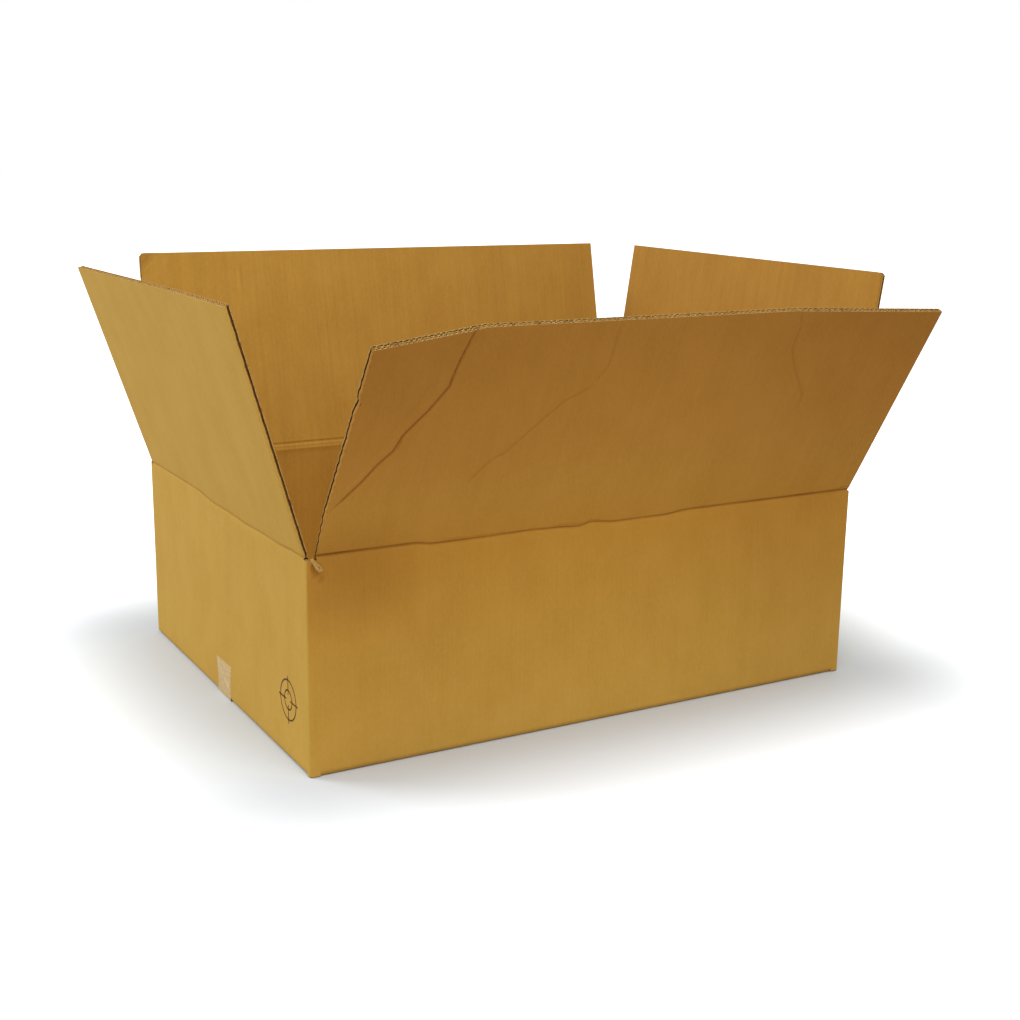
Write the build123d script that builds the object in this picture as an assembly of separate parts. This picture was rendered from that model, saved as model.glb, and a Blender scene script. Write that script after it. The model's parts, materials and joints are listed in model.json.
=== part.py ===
from build123d import *
import math
import os

# An open shipping carton made from one creased sheet of double-wall corrugated board.
# X runs along the long walls, Y across them and Z up. The origin is the centre of the base.
# The front wall faces -Y and the left wall faces -X. All sizes are in millimetres and degrees.

# Driving dimensions of the carton, over its outer faces
LENGTH = 800.0
WIDTH = 608.0
MAJOR_FOLD_Z = 266.0
FLAP_DEPTH = 298.0
BOARD = 7.0

# Board make-up: outer liner, fine flute, middle liner, coarse flute, inner liner
LINER = 0.45
FINE_FLUTE = 2.3
COARSE_FLUTE = BOARD - 3 * LINER - FINE_FLUTE
COARSE_PITCH = 7.75
FLUTE_PAPER = 0.9
FLUTE_MOUTH = 4.0
EDGE_GROOVE = 3.0

# The flaps on the long walls turn on the middle of the board, those on the short walls on its outer face
MAJOR_PIVOT_IN = BOARD / 2
MINOR_PIVOT_IN = 0.0
CLOSED_GAP = 0.4
MINOR_FOLD_Z = MAJOR_FOLD_Z - MAJOR_PIVOT_IN - CLOSED_GAP

# Crushed score lines: how far the board thins on each side of a fold
ROOT_GAP = 0.4
MAJOR_SCORE_OUT = 10.4
MAJOR_SCORE_IN = 4.2
MINOR_SCORE_OUT = 4.0
MINOR_SCORE_IN = 8.0

# How far each upper flap leans out from upright, and how far its ends stand in from the corners
FRONT_LEAN = 26.5
BACK_LEAN = 12.0
LEFT_LEAN = 16.3
RIGHT_LEAN = 8.3
FRONT_ENDS = (13.0, 7.6)
BACK_ENDS = (7.6, 11.0)
LEFT_ENDS = (9.3, 8.5)
RIGHT_ENDS = (7.7, 8.2)

# Bent corners of the flaps: where the bend meets the free edge and the end or the fold, and its angle
FRONT_NEAR_BEND = ((155.0, FLAP_DEPTH), (0.0, 42.0), 13.0)
FRONT_FAR_BEND = ((575.0, FLAP_DEPTH), (LENGTH - 7.6, 22.0), 5.6)
LEFT_FAR_BEND = ((185.0, FLAP_DEPTH), (WIDTH - 8.5, 18.0), 2.2)

# Folds and base
CORNER_RADIUS = 5.0
BASE_FOLD_RADIUS = 3.5
SLOT_END_Z = 4.0
BASE_MAJOR_INSET = 13.0
BASE_MINOR_INSET = 9.0
RAMP_FOOT = 4.0
RAMP_RUN = 7.5
TAPE_THICKNESS = 0.1
TAPE_WIDTH = 50.0
TAPE_RISE_NEAR = 49.0
TAPE_RISE_FAR = 52.0
TAPE_RISE_RIGHT = 46.0

# Glue tab inside the back right corner
TAB_WIDTH = 38.0
TAB_THICKNESS = 4.0
TAB_LOW = 18.0
TAB_HIGH = 248.0
TAB_SLOPE = 12.0

# Printed mark on the left wall
MARK_FROM_FRONT = 66.0
MARK_Z = 75.0
MARK_RADIUS = 26.0
MARK_LINE = 2.4
MARK_INNER = 13.0
MARK_INK = 0.1

HALF_L = LENGTH / 2
HALF_W = WIDTH / 2
INNER_L = HALF_L - BOARD
INNER_W = HALF_W - BOARD
BASE_GAP = HALF_W - FLAP_DEPTH


def prism(points, plane, length):
    """A closed outline drawn on a plane and extruded along the plane's normal."""
    face = plane * make_face(Polyline(*points, close=True))
    return extrude(face, amount=length, dir=plane.z_dir)


def along_x(points, low, high):
    """An outline in (y, z) run from one X to another."""
    return prism(points, Plane(origin=(low, 0, 0), x_dir=(0, 1, 0), z_dir=(1, 0, 0)), high - low)


def along_y(points, low, high):
    """An outline in (x, z) run from one Y to another."""
    return prism(points, Plane(origin=(0, high, 0), x_dir=(1, 0, 0), z_dir=(0, -1, 0)), high - low)


def box_between(low, high):
    """A block between two opposite corners."""
    size = [b - a for a, b in zip(low, high)]
    centre = [(a + b) / 2 for a, b in zip(low, high)]
    return Pos(*centre) * Box(*size)


def wall_ring():
    """The four walls, folded round at the corners, before their upper edges are scored."""
    outline = RectangleRounded(LENGTH, WIDTH, CORNER_RADIUS)
    outline -= RectangleRounded(2 * INNER_L, 2 * INNER_W, 1.0)
    return extrude(Pos(0, 0, SLOT_END_Z) * outline, amount=MAJOR_FOLD_Z - SLOT_END_Z)


def long_wall_score():
    """What the score line takes off the top of the front wall, on both faces of the board."""
    top = MAJOR_FOLD_Z + 1
    outline = [
        (-HALF_W - 1, top),
        (-HALF_W - 1, MAJOR_FOLD_Z - MAJOR_SCORE_OUT),
        (-HALF_W, MAJOR_FOLD_Z - MAJOR_SCORE_OUT),
        (-HALF_W + MAJOR_PIVOT_IN, MAJOR_FOLD_Z - ROOT_GAP),
        (-INNER_W, MAJOR_FOLD_Z - MAJOR_SCORE_IN),
        (-INNER_W + 1, MAJOR_FOLD_Z - MAJOR_SCORE_IN),
        (-INNER_W + 1, top),
    ]
    return along_x(outline, -HALF_L - 1, HALF_L + 1)


def short_wall_score():
    """What the lower fold line takes off the top of the left wall."""
    top = MAJOR_FOLD_Z + 1
    outline = [
        (-HALF_L - 1, top),
        (-HALF_L - 1, MINOR_FOLD_Z - ROOT_GAP),
        (-HALF_L, MINOR_FOLD_Z - ROOT_GAP),
        (-INNER_L, MINOR_FOLD_Z - ROOT_GAP - MINOR_SCORE_IN),
        (-INNER_L + 1, MINOR_FOLD_Z - ROOT_GAP - MINOR_SCORE_IN),
        (-INNER_L + 1, top),
    ]
    return along_y(outline, -HALF_W - 1, HALF_W + 1)


def base_major():
    """The front wall's fold and the outer bottom flap that lies on the floor."""
    end = HALF_L - BASE_MAJOR_INSET
    flap = box_between((-end, -HALF_W, 0), (end, -BASE_GAP, BOARD))
    flap += box_between((-end, -HALF_W, 0), (end, -INNER_W, 2 * BOARD))
    fold = flap.edges().filter_by(Axis.X).sort_by(Axis.Z)[:2].sort_by(Axis.Y)[0]
    return fillet(fold, BASE_FOLD_RADIUS)


def base_minor():
    """The left wall's fold and the inner bottom flap, which rises over the outer flap's end."""
    low = TAPE_THICKNESS
    tip = -HALF_L + FLAP_DEPTH
    ramp_top = -HALF_L + RAMP_FOOT + RAMP_RUN
    outline = [
        (-HALF_L, 2 * BOARD),
        (-HALF_L, low),
        (-HALF_L + RAMP_FOOT, low),
        (ramp_top, BOARD),
        (tip, BOARD),
        (tip, 2 * BOARD),
        (-INNER_L + RAMP_RUN - 1, 2 * BOARD),
        (-INNER_L, BOARD + RAMP_FOOT / 2),
        (-INNER_L, 2 * BOARD),
    ]
    end = HALF_W - BASE_MINOR_INSET
    flap = along_y(outline, -end, end)
    fold = flap.edges().filter_by(Axis.Y).sort_by(Axis.Z)[:2].sort_by(Axis.X)[0]
    return fillet(fold, BASE_FOLD_RADIUS - low)


def glue_tab():
    """The crushed tab that joins the right wall to the back wall, glued inside."""
    outline = [
        (INNER_L + 1, TAB_LOW),
        (INNER_L - TAB_WIDTH, TAB_LOW + TAB_SLOPE),
        (INNER_L - TAB_WIDTH, TAB_HIGH - TAB_SLOPE),
        (INNER_L + 1, TAB_HIGH),
    ]
    return along_y(outline, INNER_W - TAB_THICKNESS, INNER_W + 1)


def turned(shape):
    """The same shape on the opposite side of the carton."""
    return Rot(0, 0, 180) * shape


def carton_body():
    """The walls and the closed bottom, folded from one sheet."""
    body = wall_ring()
    for score in (long_wall_score(), short_wall_score()):
        body -= score
        body -= turned(score)
    for flap in (base_major(), base_minor()):
        body += flap
        body += turned(flap)
    body += glue_tab()
    end = HALF_L - BASE_MAJOR_INSET
    body -= box_between((-end - 1, -TAPE_WIDTH / 2, -1), (end + 1, TAPE_WIDTH / 2, TAPE_THICKNESS))
    return body


def flute_mouths(start, end):
    """Open mouths of the coarse flute along a flap's free edge, in the flap's own frame."""
    near = BOARD - LINER
    far = near - COARSE_FLUTE
    half = COARSE_PITCH / 2 - FLUTE_PAPER
    count = int((end - start) / COARSE_PITCH)
    first = (start + end - count * COARSE_PITCH) / 2
    plane = Plane(origin=(0, 0, FLAP_DEPTH - FLUTE_MOUTH), x_dir=(1, 0, 0), z_dir=(0, 0, 1))
    mouths = []
    for step in range(count):
        middle = first + (step + 0.5) * COARSE_PITCH
        peak = [(middle - half, near), (middle + half, near), (middle, far + FLUTE_PAPER)]
        mouths.append(prism(peak, plane, FLUTE_MOUTH + 1))
        if step + 1 < count:
            middle += COARSE_PITCH / 2
            valley = [(middle - half, far), (middle, near - FLUTE_PAPER), (middle + half, far)]
            mouths.append(prism(valley, plane, FLUTE_MOUTH + 1))
    return mouths


def end_grooves(start, end):
    """Grooves between the liners along a flap's two ends, which are cut along the flutes."""
    grooves = []
    fine = (LINER, LINER + FINE_FLUTE)
    coarse = (BOARD - LINER - COARSE_FLUTE, BOARD - LINER)
    for low, high in (fine, coarse):
        for side, inward in ((start, 1), (end, -1)):
            faces = sorted((side - inward, side + inward * EDGE_GROOVE))
            grooves.append(box_between((faces[0], low, 14.0), (faces[1], high, FLAP_DEPTH - 6.0)))
    return grooves


def bend_corner(flap, bend, side):
    """Bend one corner of a flap outwards along a straight line across it."""
    (free_u, free_v), (end_u, end_v), angle = bend
    start = Vector(free_u, BOARD, free_v)
    along = (Vector(end_u, BOARD, end_v) - start).normalized()
    across = Vector(0, 1, 0).cross(along)
    if across.X * side < 0:
        across = across * -1
    cut = Plane(origin=start, x_dir=along, z_dir=across)
    corner = split(flap, bisect_by=cut, keep=Keep.TOP)
    rest = split(flap, bisect_by=cut, keep=Keep.BOTTOM)
    turn = 1 if across.cross(Vector(0, -1, 0)).dot(along) > 0 else -1
    return rest + corner.rotate(Axis(start, along), turn * angle)


def upper_flap(length, ends, pivot_in, score_out, score_in, bends=()):
    """A flap standing straight up, with u from 0 along X, its outer face at Y 0 and its fold at Z 0."""
    start = ends[0]
    end = length - ends[1]
    outline = [
        (pivot_in, ROOT_GAP),
        (0.0, score_out),
        (0.0, FLAP_DEPTH),
        (BOARD, FLAP_DEPTH),
        (BOARD, score_in),
    ]
    flap = along_x(outline, start, end)
    flap -= flute_mouths(start + 4, end - 4)
    flap -= end_grooves(start, end)
    for bend, side in bends:
        flap = bend_corner(flap, bend, side)
    return Pos(-length / 2, -pivot_in, 0) * flap


def placed(flap, lean, turn, reach, pivot_in, fold_z):
    """Lean a flap out and stand it on the wall whose outward direction is turned from -Y."""
    return Rot(0, 0, turn) * Pos(0, pivot_in - reach, fold_z) * Rot(lean, 0, 0) * flap


def front_flap():
    bends = ((FRONT_NEAR_BEND, -1), (FRONT_FAR_BEND, 1))
    flap = upper_flap(LENGTH, FRONT_ENDS, MAJOR_PIVOT_IN, MAJOR_SCORE_OUT, MAJOR_SCORE_IN, bends)
    return placed(flap, FRONT_LEAN, 0, HALF_W, MAJOR_PIVOT_IN, MAJOR_FOLD_Z)


def back_flap():
    ends = (BACK_ENDS[1], BACK_ENDS[0])
    flap = upper_flap(LENGTH, ends, MAJOR_PIVOT_IN, MAJOR_SCORE_OUT, MAJOR_SCORE_IN)
    return placed(flap, BACK_LEAN, 180, HALF_W, MAJOR_PIVOT_IN, MAJOR_FOLD_Z)


def left_flap():
    ends = (LEFT_ENDS[1], LEFT_ENDS[0])
    (free_u, free_v), (end_u, end_v), angle = LEFT_FAR_BEND
    bend = ((WIDTH - free_u, free_v), (WIDTH - end_u, end_v), angle)
    flap = upper_flap(WIDTH, ends, MINOR_PIVOT_IN, MINOR_SCORE_OUT, MINOR_SCORE_IN, ((bend, -1),))
    return placed(flap, LEFT_LEAN, -90, HALF_L, MINOR_PIVOT_IN, MINOR_FOLD_Z)


def right_flap():
    flap = upper_flap(WIDTH, RIGHT_ENDS, MINOR_PIVOT_IN, MINOR_SCORE_OUT, MINOR_SCORE_IN)
    return placed(flap, RIGHT_LEAN, 90, HALF_L, MINOR_PIVOT_IN, MINOR_FOLD_Z)


def sealing_tape():
    """The strip that closes the bottom seam and runs a little way up both short walls."""
    thick = TAPE_THICKNESS
    half = TAPE_WIDTH / 2
    left = -HALF_L - thick
    strip = box_between((left, -half, 0), (-left, half, TAPE_RISE_FAR))
    fold = strip.edges().filter_by(Axis.Y).sort_by(Axis.Z)[:2]
    strip = fillet(fold, BASE_FOLD_RADIUS)
    inside = box_between((-HALF_L, -half - 1, thick), (HALF_L, half + 1, TAPE_RISE_FAR + 1))
    fold = inside.edges().filter_by(Axis.Y).sort_by(Axis.Z)[:2]
    strip -= fillet(fold, BASE_FOLD_RADIUS - thick)
    torn = [(-half - 1, TAPE_RISE_NEAR), (half + 1, TAPE_RISE_FAR - 1), (half + 1, TAPE_RISE_FAR + 1),
            (-half - 1, TAPE_RISE_FAR + 1)]
    strip -= along_x(torn, left - 1, 0)
    strip -= box_between((0, -half - 1, TAPE_RISE_RIGHT), (-left + 1, half + 1, TAPE_RISE_FAR + 1))
    return strip


def printed_mark():
    """A plain round register mark in dark ink: two rings and a broken cross."""
    plane = Plane(origin=(-HALF_L, MARK_FROM_FRONT - HALF_W, MARK_Z), x_dir=(0, -1, 0), z_dir=(-1, 0, 0))
    rings = Circle(MARK_RADIUS) - Circle(MARK_RADIUS - MARK_LINE)
    rings += Circle(MARK_INNER) - Circle(MARK_INNER - MARK_LINE)
    arms = Rectangle(2 * MARK_RADIUS + 8, MARK_LINE) + Rectangle(MARK_LINE, 2 * MARK_RADIUS + 8)
    arms -= Circle(MARK_INNER / 2)
    return extrude(plane * (rings + arms), amount=MARK_INK, dir=(-1, 0, 0))


PARTS = {
    "carton_body": carton_body,
    "front_flap": front_flap,
    "back_flap": back_flap,
    "left_flap": left_flap,
    "right_flap": right_flap,
    "sealing_tape": sealing_tape,
    "printed_mark": printed_mark,
}

os.makedirs("parts", exist_ok=True)
for name, make in PARTS.items():
    export_step(make(), os.path.join("parts", name + ".step"))
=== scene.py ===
import json
import math

import bmesh
import bpy
import numpy as np
from mathutils import Matrix, Vector


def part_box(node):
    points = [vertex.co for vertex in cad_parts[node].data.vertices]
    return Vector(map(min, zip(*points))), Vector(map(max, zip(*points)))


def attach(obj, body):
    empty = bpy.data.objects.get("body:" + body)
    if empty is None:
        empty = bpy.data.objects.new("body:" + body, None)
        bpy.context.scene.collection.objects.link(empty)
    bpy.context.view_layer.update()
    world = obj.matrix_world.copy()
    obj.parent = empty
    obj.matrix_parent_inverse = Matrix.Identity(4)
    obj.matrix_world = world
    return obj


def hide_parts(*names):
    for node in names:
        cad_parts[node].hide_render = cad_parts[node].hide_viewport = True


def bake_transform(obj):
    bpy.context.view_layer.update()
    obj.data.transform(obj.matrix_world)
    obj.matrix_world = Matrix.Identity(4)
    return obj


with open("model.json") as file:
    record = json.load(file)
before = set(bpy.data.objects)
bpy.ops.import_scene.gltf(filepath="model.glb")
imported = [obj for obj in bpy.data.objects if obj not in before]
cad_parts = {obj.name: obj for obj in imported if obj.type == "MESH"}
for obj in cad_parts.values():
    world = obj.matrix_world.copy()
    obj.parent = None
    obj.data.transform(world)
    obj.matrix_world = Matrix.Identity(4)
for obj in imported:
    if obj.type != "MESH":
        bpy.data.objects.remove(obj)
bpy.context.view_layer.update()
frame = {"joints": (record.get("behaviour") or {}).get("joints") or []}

# Lengths are in metres unless a comment says millimetres, and angles are in degrees.
# The carton's walls and hinges come from the frame.
MM = 0.001
JOINTS = {joint["child"]: joint for joint in frame["joints"]}
HALF_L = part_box("carton_body")[1].x
HALF_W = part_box("carton_body")[1].y
WALL_PITCH = HALF_L + HALF_W
MAJOR_FOLD_Z = JOINTS["front_flap"]["pos_m"][2]
MINOR_FOLD_Z = JOINTS["left_flap"]["pos_m"][2]
MAJOR_PIVOT_IN = HALF_W + JOINTS["front_flap"]["pos_m"][1]

# The board: outer liner, fine flute, middle liner, coarse flute, inner liner
BOARD = 7 * MM
FLAP_DEPTH = 298 * MM
LINER = 0.55 * MM
FINE_FLUTE = 2.3 * MM
FINE_PITCH = 6.3 * MM
COARSE_PITCH = 7.75 * MM
PAPER = 0.8 * MM
# Its two fluted layers: between which depths, the pitch, and where a wave starts
LAYERS = (
    (LINER, LINER + FINE_FLUTE, FINE_PITCH, 0.4),
    (2 * LINER + FINE_FLUTE, BOARD - LINER, COARSE_PITCH, 1.7),
)
LINERS = ((0.0, LINER), (LINER + FINE_FLUTE, 2 * LINER + FINE_FLUTE), (BOARD - LINER, BOARD))

# Edges cut across the flutes: how deep they are open, and how low and unevenly their paper ends
EDGE_DEPTH = 3.5 * MM
LEFT_EDGE_DEPTH = 0.9 * MM
POST_EDGE_DEPTH = 5 * MM
BASE_EDGE_DEPTH = 4 * MM
FLUTE_DROP = 0.2 * MM
FLUTE_RUFFLE = 0.3 * MM

# Edges cut along the flutes: between which depths, in millimetres, one hollow is open, and how far in
OPEN_GROOVE = (3.4, 6.0)
RIGHT_GROOVE = (0.9, 3.0)
GROOVE_DEPTH = 3.0 * MM
GROOVE_UNEVEN = 0.3 * MM
RIM = 0.7 * MM
# Beside the hollow, a band of board thinner than this is all cut paper. In millimetres
THIN_BAND = 1.5

# Every flap carries the end of its wall as far as these heights
SEAM_Z = 246 * MM
BASE_SEAM_Z = 16 * MM

# The folds: how far they bend and thin the board, and the bead pressed out below them inside
FOLD_REACH = 6 * MM
BASE_FOLD_REACH = 0.9 * MM
BASE_PIVOT = 1.6 * MM
SCORE = 0.5
SCORE_AT = 0.5
SCORE_REACH = 3.6 * MM
BEAD_BELOW = 7.5 * MM
BEAD_REACH = 3.0 * MM
# How wide the line of painted shade at a fold is, in millimetres
FOLD_LINE_WIDTH = 1.2

# How far from its ends and its free edge a flap's outline gives way
END_REACH = 28 * MM
FREE_EDGE_FROM = 240 * MM
FREE_EDGE_REACH = 58 * MM

# The wall's corners. Their feet end at these heights: near left, near right, far right, far left.
CORNER_RADIUS = 4.5 * MM
INNER_RADIUS = 1.2 * MM
CORNER_EASE = 12 * MM
CORNER_FEET = (1.3 * MM, 1.3 * MM, 1.3 * MM, 3.8 * MM)
SLOT_BELOW_FOLD = 0.5 * MM

# Mesh steps
FINE_STEP = 2.0 * MM
PLAIN_STEP = 4.4 * MM
WALL_STEP = 6.5 * MM
POST_STEP = 2 * MM
ROW_STEP = 3 * MM
CORNER_STEP = 0.7 * MM
FOLD_STEPS = 10
WAVE_STEPS = 9

# Slots of the board's materials; the groove's is the fluted paper darker as painted shade
OUTER, INNER, CUT, FLUTE, GROOVE = range(5)

# Creases: the shares of their length over which they fade, then in crease widths their ridge and the dark
# line of painted shade
CREASE_FADE = (0.06, 0.10)
RIDGE_PLACE = 3.2
RIDGE_WIDTH = 2.2
DARK_WIDTH = 0.75

# Broad soft painted shade and painted light on the outer faces: how much, where, and how far they reach
CORNER_SHADE = 0.34
CORNER_SHADE_PLACE = (0.05, 0.24)
CORNER_SHADE_REACH = (0.13, 0.09)
RIGHTWARD_SHADE = 0.16
RIGHTWARD_FROM = 0.02
RIGHTWARD_REACH = 0.36
MIDDLE_PALE = 0.12
MIDDLE_REACH = 0.34
FRONT_FOOT_PALE = 0.20
LEFT_FOOT_PALE = 0.16
FOOT_HEIGHT = 0.16
LOW_FLAP_PALE = 0.06
LOW_FLAP_Z = 0.30
LOW_FLAP_REACH = 0.09
LEFT_PALE = 0.06
# The painted shadow round the torn place on the front wall, in millimetres
TORN_LINE = ((-393.5, 256), (-392, 249), (-388, 243.5), (-382.5, 241), (-379, 244))
TORN_SHADE = 0.75
TORN_WIDTH = 1.9 * MM
# The same painted shade for the inner faces of the right and the back wall
INSIDE_RIGHT_SHADE = 0.40
INSIDE_BACK_SHADE = 0.10
INSIDE_BACK_CHANGE = 0.20


def smooth(t):
    """Smooth step from 0 to 1."""
    t = np.clip(t, 0.0, 1.0)
    return t * t * (3 - 2 * t)


def bump(t):
    """A smooth bump, 1 at t 0 and 0 beyond t 1."""
    return np.clip(1 - np.asarray(t) ** 2, 0.0, 1.0) ** 2


def bell(distance, width):
    """A bell curve, 1 at distance 0."""
    return np.exp(-(distance / width) ** 2)


def steps(low, high, step):
    """Evenly spaced values from low to high, about a step apart."""
    return np.linspace(low, high, max(2, int(round(abs(high - low) / step)) + 1))


def joined_steps(*runs):
    """Values over runs that follow each other: each has its start, its end and its own step."""
    return np.concatenate([steps(*run)[:-1] for run in runs] + [[runs[-1][1]]])


def mixed_steps(low, high, zones):
    """Values from low to high, closer together inside the zones."""
    marks = [low]
    for start, end in zones:
        marks += [max(low, start), min(high, end)]
    marks.append(high)
    runs = [(a, b, FINE_STEP if index % 2 else PLAIN_STEP)
            for index, (a, b) in enumerate(zip(marks[:-1], marks[1:])) if b - a > 1e-6]
    return joined_steps(*runs)


def spread(u, v, w):
    """Three coordinates as arrays of one shape."""
    return np.broadcast_arrays(np.asarray(u, float), np.asarray(v, float), np.asarray(w, float))


def profile(places, values):
    """A function that runs smoothly through given values. Its places are in millimetres."""
    places = np.asarray(places, float) * MM

    def value(u):
        u = np.asarray(u, float)
        index = np.clip(np.searchsorted(places, u) - 1, 0, len(places) - 2)
        low, high = places[index], places[index + 1]
        t = smooth((u - low) / (high - low))
        levels = np.asarray(values, float)
        return levels[index] * (1 - t) + levels[index + 1] * t

    return value


def line_distance(u, v, line):
    """Distance from points to a polyline given in millimetres, and how far along it they are, 0 to 1."""
    best = np.full(np.broadcast(u, v).shape, 1e9)
    place = np.zeros(best.shape)
    points = [(a * MM, b * MM) for a, b in line]
    total = sum(math.dist(a, b) for a, b in zip(points[:-1], points[1:]))
    gone = 0.0
    for (u0, v0), (u1, v1) in zip(points[:-1], points[1:]):
        du, dv = u1 - u0, v1 - v0
        length = math.hypot(du, dv)
        t = np.clip(((u - u0) * du + (v - v0) * dv) / length ** 2, 0, 1)
        away = np.hypot(u - u0 - t * du, v - v0 - t * dv)
        nearer = away < best
        best = np.where(nearer, away, best)
        place = np.where(nearer, (gone + t * length) / total, place)
        gone += length
    return best, place


def wrinkle(line, depth, width, ridge, dark):
    """A crease pressed into the outer face along a polyline, in millimetres, and how dark the shade painted
    along it is.
    """

    def press(u, v):
        away, place = line_distance(u, v, line)
        fade = smooth(place / CREASE_FADE[0]) * smooth((1 - place) / CREASE_FADE[1])
        valley = depth * MM * bell(away, width * MM)
        raised = ridge * MM * bell(away - RIDGE_PLACE * width * MM, RIDGE_WIDTH * width * MM)
        return fade * (valley - raised), fade * dark * bell(away, DARK_WIDTH * width * MM)

    return press


def corner_bend(free, end, angle, side, rounding):
    """Turn a flap's corner outwards about a line on its inner face. Places are in millimetres."""
    (u0, v0), (u1, v1) = [(a * MM, b * MM) for a, b in (free, end)]
    length = math.hypot(u1 - u0, v1 - v0)
    nu, nv = (v1 - v0) / length, -(u1 - u0) / length
    if nu * side < 0:
        nu, nv = -nu, -nv

    def bend(u, v, w):
        d = (u - u0) * nu + (v - v0) * nv
        turn = math.radians(angle) * smooth(0.5 + d / (2 * rounding * MM))
        reach = np.maximum(d, 0)
        shift = reach * np.cos(turn) + (w - BOARD) * np.sin(turn) - reach
        return u + nu * shift, v + nv * shift, BOARD + (w - BOARD) * np.cos(turn) - reach * np.sin(turn)

    return bend


def to_world(x, y, z, turn):
    """From a wall's own frame to the carton's. The turn is in radians."""
    c, s = math.cos(turn), math.sin(turn)
    x, y, z = np.broadcast_arrays(x, y, z)
    return np.stack([x * c - y * s, x * s + y * c, z], -1)


def round_carton(turn, u):
    """Distance round the walls, from the middle of the front wall."""
    return u + round(turn / (math.pi / 2)) * WALL_PITCH


def front_painted_light_and_shade(s, z, foot):
    """Painted light and shade on the front panel: painted shadow at the top by the torn corner and round the
    torn place, painted shade to the right, painted light in the middle and low.
    """
    across = (s + HALF_L - CORNER_SHADE_PLACE[0]) / CORNER_SHADE_REACH[0]
    up = (z - CORNER_SHADE_PLACE[1]) / CORNER_SHADE_REACH[1]
    corner = CORNER_SHADE * bump(np.hypot(across, up))
    torn = TORN_SHADE * bell(line_distance(s, z, TORN_LINE)[0], TORN_WIDTH)
    rightward = RIGHTWARD_SHADE * smooth((s - RIGHTWARD_FROM) / RIGHTWARD_REACH)
    middle = MIDDLE_PALE * bump(s / MIDDLE_REACH)
    low_flap = LOW_FLAP_PALE * bump((z - LOW_FLAP_Z) / LOW_FLAP_REACH)
    return corner + torn + rightward - middle - FRONT_FOOT_PALE * foot - low_flap


def painted_light_and_shade(s, z, inner):
    """Broad soft painted shade and painted light round the carton: above 0 is darker."""
    on_front = np.abs(s) <= HALF_L
    on_left = (s < -HALF_L) | (s > 2 * WALL_PITCH + HALF_L)
    on_right = (s > HALF_L) & (s <= HALF_L + 2 * HALF_W)
    foot = smooth(1 - z / FOOT_HEIGHT)
    left = -LEFT_FOOT_PALE * foot - LEFT_PALE
    outer = np.where(on_front, front_painted_light_and_shade(s, z, foot), np.where(on_left, left, 0.0))
    back = INSIDE_BACK_SHADE - INSIDE_BACK_CHANGE * (s - 2 * WALL_PITCH) / HALF_L
    inside = np.where(on_right, INSIDE_RIGHT_SHADE, np.where(on_front | on_left, 0.0, back))
    return np.where(inner, inside, outer)


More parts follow.
